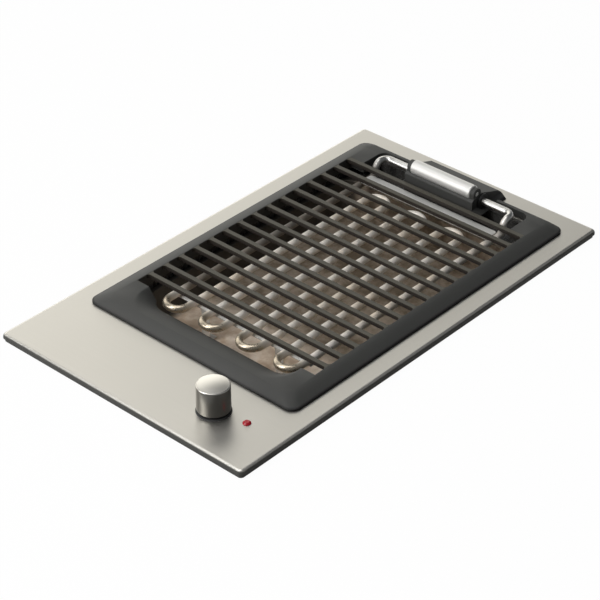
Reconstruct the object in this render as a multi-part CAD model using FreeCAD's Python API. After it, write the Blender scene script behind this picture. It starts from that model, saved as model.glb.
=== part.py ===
import FreeCAD, Part
import math
import os

# Built-in electric barbecue grill, a hob module 300 mm wide, in millimetres.
# +Z is up, -Y is the cook's side, +X is the cook's right.
# Heights are measured from the top face of the steel plate. The last step lifts
# every piece by the casing's depth, so that the base of the casing lies at zero.

# General fits
seat_gap = 0.3
running_gap = 0.05
weld_gap = 0.02

# Steel top plate
plate_width = 300.0
plate_length = 510.0
plate_sheet = 1.2
plate_drop = 5.0
plate_corner = 5.0
plate_roll = 3.5

# Seal between the plate and the worktop
seal_width = 10.0
seal_showing = 3.0

# Casing under the worktop, measured in from the plate's edges
casing_side_inset = 16.0
casing_end_inset = 15.0
casing_depth = 100.0
casing_sheet = 1.0
casing_flange = 10.0
casing_corner = 4.0
mouth_corner = 3.0
vent_width = 28.0
vent_height = 3.5
vent_gap = 8.0
vent_count = 6
floor_vent_pitch = 14.0
floor_vent_half = 56.0

# Cast grate: plate margins around its rim, then insets from the rim's edge
side_margin = 21.6
front_margin = 88.2
back_margin = 24.0
rim_corner = 10.0
rim_edge = 1.9
crest_height = 8.0
crest_side = 16.4
crest_front_inset = 11.8
crest_back_inset = 8.5
slot_side = 17.4
slot_corner = 3.0
front_slot = 14.7
lip_inset = 38.3
lip_height = -3.0
lip_side = 38.4
lip_corner = 22.0
casting_wall = 4.0
skirt_height = 4.0
skirt_clearance = 1.5
bar_count = 15
bar_first_inset = 65.0
bar_last_inset = 45.8
bar_top = 4.6
bar_base = 5.4
bar_depth = 4.0
recess_side = 34.9
recess_back_inset = 11.0
recess_corner = 9.0

# Opening in the plate and the well that hangs in it
opening_side = 9.0
opening_front = 14.0
opening_back = 13.0
opening_corner = 10.0
well_clearance = 3.0
well_sheet = 1.0
well_flange = 7.0
well_depth = 45.0
well_corner = 12.0
shelf_depth = 15.0

# Drip pan
pan_gap = 5.0
pan_sheet = 0.8
pan_height = 30.0
pan_lip = 4.0
pan_draft = 6.0

# Heating element: one tube in eight runs
tube_radius = 3.75
tube_height = -4.5
run_count = 8
side_to_run = 46.85
bend_front_inset = 60.8
bend_back_inset = 80.4
pivot_inset = 23.0
pivot_z = 10.0
corner_bend = 8.0
tube_end = 30.0
seal_wall = 0.4
seal_length = 4.0
stud_radius = 1.6
stud_length = 12.0

# Straps welded to the element
strap_sheet = 1.25
strap_corner = 3.0
back_strap_width = 18.0
back_strap_ahead = 32.5
front_strap_width = 10.0
front_strap_behind = 16.0
leg_width = 10.0

# Terminal head with its steel barrel
head_half = 43.0
head_flare = 7.0
head_ahead = 16.0
head_behind = 32.0
head_top = 19.0
head_back_top = 10.0
head_wall = 4.0
head_clearance = 1.5
head_rounding = 2.5
head_screw_inset = 3.5
head_screw_ahead = 2.0
lead_inset = 14.0
lead_channel = 4.6
bush_radius = 6.5
bush_collar = 8.0
collar_sheet = 1.5
barrel_radius = 7.4
barrel_inset = 5.5
barrel_ahead = 7.5
barrel_z = 20.5
barrel_chamfer = 0.8
ear_thickness = 4.5
ear_radius = 6.0
axle_radius = 2.5

# Knob and energy regulator, measured in from the plate's right front corner
knob_from_side = 76.5
knob_from_front = 47.0
knob_radius = 16.5
knob_top_radius = 15.9
knob_height = 29.5
knob_wall = 1.2
knob_gap = 1.2
knob_chamfer = 0.7
ring_radius = 18.5
ring_height = 0.9
shaft_radius = 3.0
shaft_flat = 1.2
insert_radius = 7.5
rib_sheet = 1.6
regulator_width = 46.0
regulator_height = 30.0
regulator_drop = 8.0
regulator_corner = 3.0
bushing_radius = 5.0
bracket_reach = 28.0
bracket_half = 18.0
bracket_foot = 9.0
bracket_screw_x = 15.0
tab_width = 6.3
tab_sheet = 0.8
tab_length = 8.0
tab_pitch = 9.0

# Pilot lamp
lamp_from_side = 43.0
lamp_from_front = 53.0
lamp_radius = 3.8
lamp_flat = 0.5
lamp_dome = 1.4
lamp_bezel = 4.6
lamp_seat = 8.0
lamp_length = 26.0

# Mains connection
gland_from_side = 80.0
gland_z = -72.0
gland_bore = 5.0
gland_thread = 10.0
gland_head = 13.5
gland_flange = 5.0
gland_dome = 7.0
gland_inside = 12.0
block_from_gland = 32.0
block_length = 54.0
block_width = 24.0
block_height = 22.0
block_ways = 4
way_pitch = 12.0
way_radius = 2.4

# Thermal cut-out under the well
cutout_from_back = 195.0
cutout_radius = 8.0
cutout_cap = 10.0
cutout_base = 6.0
cutout_strap_half = 22.0
cutout_strap_width = 22.0

# Fixings
clamp_from_end = 105.0
clamp_width = 22.0
clamp_sheet = 1.5
clamp_reach = 14.5
clamp_half_height = 14.0
clamp_tip = 7.0
clamp_screw_z = -62.0
screw_radius = 2.0
screw_head = 3.6
screw_cap = 2.2
screw_grip = 8.0
cover_screw_inset = 30.0
earth_from_back = 60.0
earth_z = -80.0
earth_radius = 2.5
earth_length = 14.0

# Worked-out places
plate_half_x = plate_width / 2
plate_half_y = plate_length / 2
casing_half_x = plate_half_x - casing_side_inset
casing_half_y = plate_half_y - casing_end_inset
rim_half = plate_half_x - side_margin
rim_front = -plate_half_y + front_margin
rim_back = plate_half_y - back_margin
crest_front = rim_front + crest_front_inset
slot_half = rim_half - slot_side
lip_half = rim_half - lip_side
lip_front = rim_front + lip_inset
recess_half = rim_half - recess_side
recess_back = rim_back - recess_back_inset
hole_half = rim_half - opening_side
hole_front = rim_front + opening_front
hole_back = rim_back - opening_back
well_half = hole_half - well_clearance
well_front = hole_front + well_clearance
well_back = hole_back - well_clearance
bar_first = rim_front + bar_first_inset
bar_last = rim_back - bar_last_inset
bar_pitch = (bar_last - bar_first) / (bar_count - 1)
bar_under = crest_height - bar_depth
slot_front = bar_first - bar_top / 2 - front_slot
shelf_front = bar_last + bar_top / 2
pivot_y = rim_back - pivot_inset
bend_front = rim_front + bend_front_inset
bend_back = rim_back - bend_back_inset
rise_bend = (pivot_z - tube_height) / 2
outer_run = rim_half - side_to_run
run_pitch = 2 * outer_run / (run_count - 1)
leg_x = 2 * run_pitch
back_strap_y = pivot_y - back_strap_ahead
front_strap_y = bend_front + front_strap_behind
head_front = pivot_y - head_ahead
head_back = pivot_y + head_behind
head_screw_x = head_half - head_screw_inset
head_screw_y = pivot_y - head_screw_ahead
lead_half = head_half - lead_inset
barrel_half = head_half - barrel_inset
barrel_y = pivot_y - barrel_ahead
knob_x = plate_half_x - knob_from_side
knob_y = -plate_half_y + knob_from_front
lamp_x = plate_half_x - lamp_from_side
lamp_y = -plate_half_y + lamp_from_front
pan_floor = -well_depth + well_sheet + seat_gap
casing_top = -plate_sheet
cutout_y = plate_half_y - cutout_from_back
clamp_y = plate_half_y - clamp_from_end
gland_x = -plate_half_x + gland_from_side

V = FreeCAD.Vector
UP = V(0, 0, 1)
pieces = {}


def box(x0, x1, y0, y1, z0, z1):
    return Part.makeBox(x1 - x0, y1 - y0, z1 - z0, V(x0, y0, z0))


def rod(x, y, z, radius, length, axis=UP):
    return Part.makeCylinder(radius, length, V(x, y, z), axis)


def cone(x, y, z, low_radius, high_radius, height, axis=UP):
    return Part.makeCone(low_radius, high_radius, height, V(x, y, z), axis)


def rounded_outline(x0, x1, y0, y1, r, z):
    """Closed wire: a rectangle with rounded corners, at height z."""
    k = r * (1 - math.sqrt(0.5))
    line = Part.LineSegment
    edges = [
        line(V(x0 + r, y0, z), V(x1 - r, y0, z)),
        Part.Arc(V(x1 - r, y0, z), V(x1 - k, y0 + k, z), V(x1, y0 + r, z)),
        line(V(x1, y0 + r, z), V(x1, y1 - r, z)),
        Part.Arc(V(x1, y1 - r, z), V(x1 - k, y1 - k, z), V(x1 - r, y1, z)),
        line(V(x1 - r, y1, z), V(x0 + r, y1, z)),
        Part.Arc(V(x0 + r, y1, z), V(x0 + k, y1 - k, z), V(x0, y1 - r, z)),
        line(V(x0, y1 - r, z), V(x0, y0 + r, z)),
        Part.Arc(V(x0, y0 + r, z), V(x0 + k, y0 + k, z), V(x0 + r, y0, z)),
    ]
    return Part.Wire([edge.toShape() for edge in edges])


def rounded_block(x0, x1, y0, y1, r, z0, z1):
    face = Part.Face(rounded_outline(x0, x1, y0, y1, r, z0))
    return face.extrude(V(0, 0, z1 - z0))


def tapered_block(low, high):
    """Solid between two rounded rectangles, each (x0, x1, y0, y1, r, z)."""
    return Part.makeLoft([rounded_outline(*low), rounded_outline(*high)], True, True)


def side_profile(points, x0, x1):
    """Solid from an outline of (y, z) corners, running from x0 to x1."""
    corners = [V(x0, y, z) for y, z in points]
    face = Part.Face(Part.makePolygon(corners + corners[:1]))
    return face.extrude(V(x1 - x0, 0, 0))


def front_profile(points, y0, y1):
    """Solid from an outline of (x, z) corners, running from y0 to y1."""
    corners = [V(x, y0, z) for x, z in points]
    face = Part.Face(Part.makePolygon(corners + corners[:1]))
    return face.extrude(V(0, y1 - y0, 0))


def fuse(shapes):
    whole = shapes[0]
    for shape in shapes[1:]:
        whole = whole.fuse(shape)
    return whole.removeSplitter()


def edges_where(shape, test):
    return [edge for edge in shape.Edges if test(edge.BoundBox)]


def make_top_plate():
    body = rounded_block(-plate_half_x, plate_half_x, -plate_half_y, plate_half_y,
                         plate_corner, -plate_drop, 0)
    top_edges = edges_where(body, lambda b: b.ZMin > -1e-6)
    body = body.makeFillet(plate_roll, top_edges)
    t = plate_sheet
    inside = rounded_block(-plate_half_x + t, plate_half_x - t, -plate_half_y + t, plate_half_y - t,
                           plate_corner - t, -plate_drop - 1, -t)
    inner_edges = edges_where(inside, lambda b: b.ZMin > -t - 1e-6)
    inside = inside.makeFillet(plate_roll - t, inner_edges)
    plate = body.cut(inside)
    opening = rounded_block(-hole_half, hole_half, hole_front, hole_back, opening_corner,
                            -plate_drop, plate_drop)
    shaft_hole = rod(knob_x, knob_y, -plate_drop, bushing_radius + seat_gap, 2 * plate_drop)
    lamp_hole = rod(lamp_x, lamp_y, -plate_drop, lamp_radius + weld_gap, 2 * plate_drop)
    pieces["top_plate"] = plate.cut(Part.makeCompound([opening, shaft_hole, lamp_hole]))


def make_plate_seal():
    half_x = plate_half_x - plate_sheet - seat_gap
    half_y = plate_half_y - plate_sheet - seat_gap
    low = -plate_drop - seal_showing
    edge = plate_corner - plate_sheet
    outer = rounded_block(-half_x, half_x, -half_y, half_y, edge, low, -plate_roll)
    neck_in = plate_roll - plate_sheet
    neck = rounded_block(-half_x + neck_in, half_x - neck_in, -half_y + neck_in, half_y - neck_in,
                         edge, low, -plate_sheet)
    inner_x = half_x - seal_width
    inner_y = half_y - seal_width
    inner = rounded_block(-inner_x, inner_x, -inner_y, inner_y, edge, low - 1, 1)
    pieces["plate_seal"] = outer.fuse(neck).removeSplitter().cut(inner)


def vent_slots():
    """Cutters for the rows of cooling slots in the front and back walls."""
    slots = []
    for side in (-1, 1):
        for i in range(vent_count):
            x = (i - (vent_count - 1) / 2) * (vent_width + vent_gap)
            if side > 0 and abs(x - gland_x) < vent_width / 2 + gland_head + vent_gap / 2:
                continue
            slots.append(box(x - vent_width / 2, x + vent_width / 2, side * casing_half_y - casing_corner,
                             side * casing_half_y + casing_corner, gland_z, gland_z + vent_height))
    return slots


def make_casing():
    t = casing_sheet
    x = casing_half_x
    y = casing_half_y
    low = -casing_depth + t
    shell = rounded_block(-x, x, -y, y, casing_corner, low, casing_top)
    inside = rounded_block(-x + t, x - t, -y + t, y - t, casing_corner - t, low + t, casing_top - t)
    f = casing_flange
    mouth = rounded_block(-x + f, x - f, -y + f, y - f, mouth_corner, low - t, casing_top + t)
    gland_hole = rod(gland_x, y - 2 * t, gland_z, gland_thread + seat_gap, 4 * t, V(0, 1, 0))
    cuts = [inside, mouth, gland_hole] + vent_slots()
    for sx in (-1, 1):
        for sy in (-1, 1):
            cuts.append(rod(sx * (x + 2 * t), sy * clamp_y, clamp_screw_z, screw_radius,
                            4 * t, V(-sx, 0, 0)))
    for sx, sy in cover_screw_places():
        cuts.append(rod(sx, sy, low - t, screw_radius, 4 * t))
    pieces["casing"] = shell.cut(Part.makeCompound(cuts))


def cover_screw_places():
    x = casing_half_x - casing_flange / 2
    y = casing_half_y - casing_flange / 2 - cover_screw_inset
    return [(-x, -y), (x, -y), (-x, y), (x, y)]


def make_bottom_cover():
    t = casing_sheet
    x = casing_half_x
    y = casing_half_y
    low = -casing_depth
    sheet = rounded_block(-x, x, -y, y, casing_corner, low, low + t)
    cuts = []
    for sx, sy in cover_screw_places():
        cuts.append(rod(sx, sy, low - t, screw_radius + seat_gap, 3 * t))
        cuts.append(rod(sx, sy, low - t, screw_head, 1.5 * t))
    for i in range(vent_count * 2):
        vent_y = (i - vent_count) * floor_vent_pitch
        cuts.append(box(-floor_vent_half, floor_vent_half, vent_y, vent_y + vent_height,
                        low - t, low + 2 * t))
    pieces["bottom_cover"] = sheet.cut(Part.makeCompound(cuts))
    screws = []
    for sx, sy in cover_screw_places():
        head = rod(sx, sy, low + t * 0.1, screw_head - seat_gap, t * 0.4)
        screws.append(fuse([head, rod(sx, sy, low + t * 0.1, screw_radius - weld_gap, screw_grip)]))
    pieces["cover_screws"] = Part.makeCompound(screws)


def make_well():
    t = well_sheet
    top = casing_top - t
    x = well_half
    deep = rounded_block(-x, x, well_front, shelf_front, well_corner, -well_depth, top)
    shallow = rounded_block(-x, x, well_front, well_back, well_corner, -shelf_depth, top)
    flange = rounded_block(-x - well_flange, x + well_flange, well_front - well_flange,
                           well_back + well_flange, well_corner, top, casing_top)
    body = fuse([deep, shallow, flange])
    deep_in = rounded_block(-x + t, x - t, well_front + t, shelf_front - t, well_corner - t,
                            -well_depth + t, 1)
    shallow_in = rounded_block(-x + t, x - t, well_front + t, well_back - t, well_corner - t,
                               -shelf_depth + t, 1)
    lead_hole = rounded_block(-lead_half, lead_half, head_front + 2 * head_wall, well_back - head_wall,
                              head_wall, -shelf_depth - t, -shelf_depth + 2 * t)
    cuts = [deep_in, shallow_in, lead_hole]
    for side in (-1, 1):
        cuts.append(rod(side * head_screw_x, head_screw_y, -shelf_depth - t,
                        screw_radius + seat_gap, 3 * t))
    pieces["grill_well"] = body.cut(Part.makeCompound(cuts))


def make_drip_pan():
    x = well_half - well_sheet - pan_gap
    y0 = well_front + well_sheet + pan_gap
    y1 = shelf_front - well_sheet - pan_gap
    z0 = pan_floor
    z1 = pan_floor + pan_height
    t = pan_sheet
    d = pan_draft
    r = well_corner
    outer = tapered_block((-x + d, x - d, y0 + d, y1 - d, r, z0), (-x, x, y0, y1, r, z1))
    lip = rounded_block(-x - pan_lip, x + pan_lip, y0 - pan_lip, y1 + pan_lip, r + t, z1 - t, z1)
    inner = tapered_block((-x + d + t, x - d - t, y0 + d + t, y1 - d - t, r - t, z0 + t),
                          (-x + t, x - t, y0 + t, y1 - t, r - t, z1))
    pieces["drip_pan"] = fuse([outer, lip]).cut(inner)


def crown_section(share, z):
    """Outline of the rim's domed outside: share 0 at its edge, 1 at the crest."""
    return (-rim_half + share * crest_side, rim_half - share * crest_side,
            rim_front + share * crest_front_inset, rim_back - share * crest_back_inset, rim_corner, z)


def scoop_section(share, z):
    """Outline of the front scoop: share 0 at the crest, 1 at the lip."""
    half = lip_half + (1 - share) * slot_corner * 2
    front = crest_front + share * (lip_front - crest_front)
    return (-half, half, front, bar_first + lip_corner * 2,
            lip_corner + (1 - share) * slot_corner * 2, z)


def lofted(sections):
    return fuse([tapered_block(low, high) for low, high in zip(sections, sections[1:])])


def make_cast_grate():
    rise = crest_height - rim_edge
    base = rounded_block(-rim_half, rim_half, rim_front, rim_back, rim_corner, seat_gap, rim_edge)
    crown = lofted([crown_section(0, rim_edge), crown_section(0.42, rim_edge + rise * 0.55),
                    crown_section(0.75, rim_edge + rise * 0.87), crown_section(1, crest_height)])
    skirt_half = well_half - well_sheet - skirt_clearance
    skirt_front = well_front + well_sheet + skirt_clearance
    skirt_back = well_back - well_sheet - skirt_clearance
    skirt = rounded_block(-skirt_half, skirt_half, skirt_front, skirt_back, rim_corner,
                          -skirt_height, seat_gap)
    lip_under = lip_height - casting_wall - 1
    throat = lip_half + casting_wall
    lip_back = bar_first + lip_corner
    lip_block = tapered_block((-throat, throat, lip_front - casting_wall, lip_back, lip_corner, lip_under),
                              (-skirt_half, skirt_half, skirt_front, lip_back, lip_corner, seat_gap))
    body = fuse([base, crown, skirt, lip_block])
    drop = crest_height - lip_height
    scoop = lofted([scoop_section(1, lip_height), scoop_section(0.80, lip_height + drop * 0.33),
                    scoop_section(0.50, lip_height + drop * 0.70),
                    scoop_section(0.22, lip_height + drop * 0.93),
                    scoop_section(0, crest_height + seat_gap * 0.1)])
    low = lip_under - 1
    high = crest_height + 1
    hole = rounded_block(-lip_half, lip_half, lip_front, bar_first + lip_corner * 2, lip_corner,
                         low, high)
    slots = box(-slot_half, slot_half, slot_front, shelf_front, low, high)
    recess = rounded_block(-recess_half, recess_half, shelf_front - recess_corner, recess_back,
                           recess_corner, low, high)
    notch_half = head_half + head_flare + head_clearance
    notch = box(-notch_half, notch_half, shelf_front, rim_back + casting_wall, low, high)
    for cutter in (scoop, hole, slots, recess, notch):
        body = body.cut(cutter)
    pieces["cast_grate"] = biggest(body)
    pieces["grate_bars"] = Part.makeCompound([cast_bar(i) for i in range(bar_count)])


def biggest(shape):
    return max(shape.Solids, key=lambda solid: solid.Volume)


def slot_cutter(y0, y1):
    """Drafted slot with rounded ends, narrower at its foot, between two bars' top edges."""
    draft = (bar_base - bar_top) / 2
    x = slot_half
    return tapered_block((-x, x, y0 + draft, y1 - draft, slot_corner - draft, bar_under),
                         (-x, x, y0, y1, slot_corner, crest_height))


def cast_bar(index):
    """One drafted bar that widens in a round where it meets the rim."""
    y = bar_first + bar_pitch * index
    half = bar_top / 2
    front = slot_front if index == 0 else y - bar_pitch + half
    back_cell = y + half if index == bar_count - 1 else y + bar_pitch / 2
    cell = box(-slot_half, slot_half, y - bar_pitch / 2, back_cell, bar_under, crest_height)
    bar = cell.cut(slot_cutter(front, y - half))
    if index < bar_count - 1:
        bar = bar.cut(slot_cutter(y + half, y + bar_pitch - half))
    return biggest(bar)


def quarter(centre, start, end):
    """Quarter circle from start to end about the centre."""
    radius = (start - centre).Length
    middle = centre + (start - centre + end - centre).normalize() * radius
    return Part.Arc(start, middle, end).toShape()


def line(start, end):
    return Part.LineSegment(start, end).toShape()


def tail_edges(side):
    """Cold end: out of the head, round the corner and down to the level of the runs."""
    x = side * outer_run
    inner = x - side * corner_bend
    level = pivot_y - corner_bend
    drop = level - rise_bend
    foot = drop - rise_bend
    middle_z = pivot_z - rise_bend
    return [
        line(V(side * tube_end, pivot_y, pivot_z), V(inner, pivot_y, pivot_z)),
        quarter(V(inner, level, pivot_z), V(inner, pivot_y, pivot_z), V(x, level, pivot_z)),
        quarter(V(x, level, middle_z), V(x, level, pivot_z), V(x, drop, middle_z)),
        quarter(V(x, foot, middle_z), V(x, drop, middle_z), V(x, foot, tube_height)),
    ], foot


def half_turn(x0, x1, y, bulge):
    centre = (x0 + x1) / 2
    radius = abs(x1 - x0) / 2
    return Part.Arc(V(x0, y, tube_height), V(centre, y + bulge * radius, tube_height),
                    V(x1, y, tube_height)).toShape()


def make_heating_element():
    first, foot = tail_edges(1)
    last, foot = tail_edges(-1)
    edges = list(first)
    xs = [outer_run - run_pitch * i for i in range(run_count)]
    here = foot
    for i, x in enumerate(xs):
        going_front = i % 2 == 0
        there = bend_front if going_front else bend_back
        if i == run_count - 1:
            there = foot
        edges.append(line(V(x, here, tube_height), V(x, there, tube_height)))
        if i < run_count - 1:
            edges.append(half_turn(x, xs[i + 1], there, -1 if going_front else 1))
        here = there
    edges += list(reversed(last))
    path = Part.Wire(Part.__sortEdges__(edges))
    circle = Part.Circle(V(tube_end, pivot_y, pivot_z), V(1, 0, 0), tube_radius).toShape()
    tube = path.makePipeShell([Part.Wire([circle])], True, False)
    pieces["heating_tube"] = tube
    print("tube volume", round(tube.Volume), "expected",
          round(path.Length * math.pi * tube_radius ** 2))
    studs = []
    seals = []
    for side in (-1, 1):
        out = V(-side, 0, 0)
        seals.append(rod(side * tube_end, pivot_y, pivot_z, tube_radius - seal_wall, seal_length, out))
        studs.append(rod(side * (tube_end - seal_length), pivot_y, pivot_z, stud_radius, stud_length, out))
    pieces["tube_end_seals"] = Part.makeCompound(seals)
    pieces["terminal_studs"] = Part.makeCompound(studs)


def make_straps():
    top = tube_height + tube_radius
    x = outer_run - 1
    half = back_strap_width / 2
    strap = box(-x, x, back_strap_y - half, back_strap_y + half, top, top + strap_sheet)
    corner_edges = edges_where(strap, lambda b: b.ZLength > strap_sheet / 2)
    pieces["back_strap"] = strap.makeFillet(strap_corner, corner_edges)
    low = tube_height - tube_radius
    x = outer_run + tube_radius
    half = front_strap_width / 2
    y = front_strap_y
    strap = box(-x, x, y - half, y + half, low - strap_sheet, low)
    legs = []
    foot = pan_floor + pan_sheet + seat_gap
    for side in (-1, 1):
        centre = side * leg_x
        leg = box(centre - leg_width / 2, centre + leg_width / 2, y - half, y - half + strap_sheet,
                  foot, low - strap_sheet)
        toe = box(centre - leg_width / 2, centre + leg_width / 2, y - half, y + half,
                  foot, foot + strap_sheet)
        legs += [leg, toe]
    pieces["front_strap"] = fuse([strap] + legs)


def head_section(half, grow):
    """Side outline of the head, extruded; grow moves it outwards."""
    low = -shelf_depth + well_sheet
    step_y = well_back - well_sheet - seat_gap
    outline = [
        (head_front - grow, low),
        (head_front - grow, barrel_z - 6),
        (barrel_y - 3, head_top + grow),
        (barrel_y + 8, head_top + grow),
        (head_back - 5, head_back_top + grow),
        (head_back + grow, head_back_top - 4),
        (head_back + grow, seat_gap),
        (step_y, seat_gap),
        (step_y, low),
    ]
    return side_profile(outline, -half, half)


def make_terminal_head():
    wide = head_half + head_flare
    low = -shelf_depth
    body = head_section(wide, 0)
    ridges = edges_where(body, lambda b: b.XLength > wide and b.ZMin > seat_gap * 2)
    body = body.makeFillet(head_rounding, ridges)
    high = head_top + head_wall
    for side in (-1, 1):
        wedge = front_profile([(side * head_half, high), (side * head_half, ear_radius),
                               (side * wide, seat_gap), (side * (wide + head_wall), seat_gap),
                               (side * (wide + head_wall), high)],
                              head_front - head_wall, head_back + head_wall)
        lower = box(min(side * head_half, side * (wide + 1)), max(side * head_half, side * (wide + 1)),
                    head_front - head_wall, well_back - well_sheet, low, seat_gap)
        body = body.cut(wedge).cut(lower)
    ears = []
    for side in (-1, 1):
        x = side * barrel_half + side * seat_gap
        lug = rod(x, barrel_y, barrel_z, ear_radius, ear_thickness, V(side, 0, 0))
        post = box(min(x, x + side * ear_thickness), max(x, x + side * ear_thickness),
                   barrel_y - ear_radius, barrel_y + ear_radius, head_top - ear_radius, barrel_z)
        ears += [lug, post]
    body = fuse([body] + ears)
    inner = head_half - 2 * head_wall
    cavity = box(-inner, inner, head_front + head_wall, well_back - well_sheet - head_wall,
                 low - well_sheet, pivot_z + well_sheet)
    channel = rod(-inner, pivot_y, pivot_z, lead_channel, 2 * inner, V(1, 0, 0))
    cradle = rod(-barrel_half - seat_gap, barrel_y, barrel_z, barrel_radius + seat_gap,
                 2 * (barrel_half + seat_gap), V(1, 0, 0))
    axle_bore = rod(-wide, barrel_y, barrel_z, axle_radius + weld_gap, 2 * wide, V(1, 0, 0))
    cuts = [cavity, channel, cradle, axle_bore]
    for side in (-1, 1):
        cuts.append(rod(side * inner, pivot_y, pivot_z, bush_radius, wide, V(side, 0, 0)))
        cuts.append(rod(side * head_half, pivot_y, pivot_z, bush_collar + seat_gap, wide, V(side, 0, 0)))
        cuts.append(rod(side * head_screw_x, head_screw_y, low, screw_radius, screw_grip + head_wall))
    pieces["terminal_head"] = body.cut(Part.makeCompound(cuts))
    screws = []
    for side in (-1, 1):
        shank = rod(side * head_screw_x, head_screw_y, low, screw_radius - weld_gap, screw_grip + screw_cap)
        cap = rod(side * head_screw_x, head_screw_y, low - screw_cap, screw_head, screw_cap)
        screws.append(fuse([cap, shank]))
    pieces["head_screws"] = Part.makeCompound(screws)


def make_pivot_bushes():
    bushes = []
    inner = barrel_half + 1
    for side in (-1, 1):
        out = V(side, 0, 0)
        sleeve = rod(side * inner, pivot_y, pivot_z, bush_radius - weld_gap, head_half - inner + 1, out)
        collar = rod(side * (head_half + weld_gap), pivot_y, pivot_z, bush_collar, collar_sheet, out)
        bore = rod(side * (inner - 1), pivot_y, pivot_z, tube_radius + running_gap, head_half, out)
        bushes.append(fuse([sleeve, collar]).cut(bore))
    pieces["pivot_bushes"] = Part.makeCompound(bushes)


def make_barrel():
    x = barrel_half
    tube = rod(-x, barrel_y, barrel_z, barrel_radius, 2 * x, V(1, 0, 0))
    tube = tube.makeChamfer(barrel_chamfer, edges_where(tube, lambda b: b.XLength < 1e-3))
    bore = rod(-x - 1, barrel_y, barrel_z, axle_radius + running_gap, 2 * x + 2, V(1, 0, 0))
    pieces["steel_barrel"] = tube.cut(bore)
    reach = x + ear_thickness
    pieces["barrel_axle"] = rod(-reach, barrel_y, barrel_z, axle_radius, 2 * reach, V(1, 0, 0))


def make_knob():
    low = ring_height + knob_gap
    roof = knob_height - knob_wall
    body = cone(knob_x, knob_y, low, knob_radius, knob_top_radius, knob_height - low)
    body = body.makeChamfer(knob_chamfer, edges_where(body, lambda b: b.ZMin > roof))
    inside = cone(knob_x, knob_y, low, knob_radius - knob_wall, knob_top_radius - knob_wall, roof - low)
    pieces["control_knob"] = body.cut(inside)
    stem = rod(knob_x, knob_y, low + 2, insert_radius, roof - low - 2)
    web_radius = knob_top_radius - knob_wall - seat_gap
    disc = rod(knob_x, knob_y, roof - 4, web_radius, 4)
    ribs = []
    for i in range(2):
        rib = box(knob_x - web_radius + seat_gap, knob_x + web_radius - seat_gap,
                  knob_y - rib_sheet / 2, knob_y + rib_sheet / 2, low + 6, roof - 3)
        rib.rotate(V(knob_x, knob_y, 0), UP, 90 * i)
        ribs.append(rib)
    bore = rod(knob_x, knob_y, 0, shaft_radius + weld_gap, roof - 4)
    flat = box(knob_x - knob_radius, knob_x + knob_radius, knob_y + shaft_radius - shaft_flat + weld_gap,
               knob_y + knob_radius, 0, roof)
    pieces["knob_insert"] = fuse([stem, disc] + ribs).cut(bore.cut(flat))
    shaft_low = -regulator_drop - 6
    shaft = rod(knob_x, knob_y, shaft_low, shaft_radius, roof - 4.5 - shaft_low)
    keyed = box(knob_x - knob_radius, knob_x + knob_radius, knob_y + shaft_radius - shaft_flat,
                knob_y + knob_radius, low + 2, roof)
    pieces["regulator_shaft"] = shaft.cut(keyed)
    ring = cone(knob_x, knob_y, 0, ring_radius, ring_radius - ring_height / 2, ring_height)
    pieces["knob_ring"] = ring.cut(rod(knob_x, knob_y, -1, bushing_radius + seat_gap, 2 + ring_height))


def make_regulator():
    half = regulator_width / 2
    top = casing_top - regulator_drop
    low = top - regulator_height
    body = box(knob_x - half, knob_x + half, knob_y - half, knob_y + half, low, top)
    body = body.makeFillet(regulator_corner, edges_where(body, lambda b: b.ZLength > regulator_corner))
    bushing = rod(knob_x, knob_y, top - 1, bushing_radius, 1 - top + ring_height - weld_gap)
    bore = rod(knob_x, knob_y, top - regulator_height / 2, shaft_radius + running_gap, regulator_height)
    places = [(knob_x - bracket_screw_x, knob_y), (knob_x + bracket_screw_x, knob_y)]
    drilled = [rod(x, y, top - screw_grip, screw_radius, screw_grip) for x, y in places]
    pieces["energy_regulator"] = fuse([body, bushing]).cut(Part.makeCompound([bore] + drilled))
    tabs = []
    for i in range(5):
        x = knob_x + (i - 2) * tab_pitch
        y = knob_y + (i % 2) * tab_length
        tabs.append(box(x - tab_sheet / 2, x + tab_sheet / 2, y - tab_width / 2, y + tab_width / 2,
                        low - tab_length, low))
    pieces["regulator_tabs"] = Part.makeCompound(tabs)
    t = plate_sheet
    reach = bracket_reach
    deck = box(knob_x - reach, knob_x + reach, knob_y - bracket_half, knob_y + bracket_half, top, top + t)
    feet = []
    for side in (-1, 1):
        x = knob_x + side * reach
        wall = box(min(x, x - side * t), max(x, x - side * t), knob_y - bracket_half,
                   knob_y + bracket_half, top, casing_top)
        foot = box(min(x, x - side * bracket_foot), max(x, x - side * bracket_foot),
                   knob_y - bracket_half, knob_y + bracket_half, casing_top - t, casing_top)
        feet += [wall, foot]
    holes = [rod(knob_x, knob_y, top - t, bushing_radius + seat_gap, 3 * t)]
    for x, y in places:
        holes.append(rod(x, y, top - t, screw_radius, 3 * t))
    pieces["regulator_bracket"] = fuse([deck] + feet).cut(Part.makeCompound(holes))
    screws = []
    for x, y in places:
        shank = rod(x, y, top - screw_grip * 0.75, screw_radius - weld_gap, screw_grip * 0.75 + t)
        screws.append(fuse([shank, rod(x, y, top + t, screw_head, screw_cap)]))
    pieces["regulator_screws"] = Part.makeCompound(screws)


def make_lamp():
    r = lamp_radius
    dome = cone(lamp_x, lamp_y, lamp_flat, r - weld_gap, r * 0.6, lamp_dome)
    pin = rod(lamp_x, lamp_y, -lamp_seat, r - weld_gap, lamp_seat + lamp_flat)
    pieces["pilot_lens"] = fuse([dome, pin])
    sleeve = rod(lamp_x, lamp_y, -lamp_length, lamp_bezel, lamp_length - lamp_seat)
    collar = rod(lamp_x, lamp_y, -lamp_seat, lamp_bezel, lamp_seat + casing_top)
    cup = rod(lamp_x, lamp_y, -lamp_seat, r, lamp_seat)
    pieces["pilot_lamp"] = fuse([sleeve, collar.cut(cup)])


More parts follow.
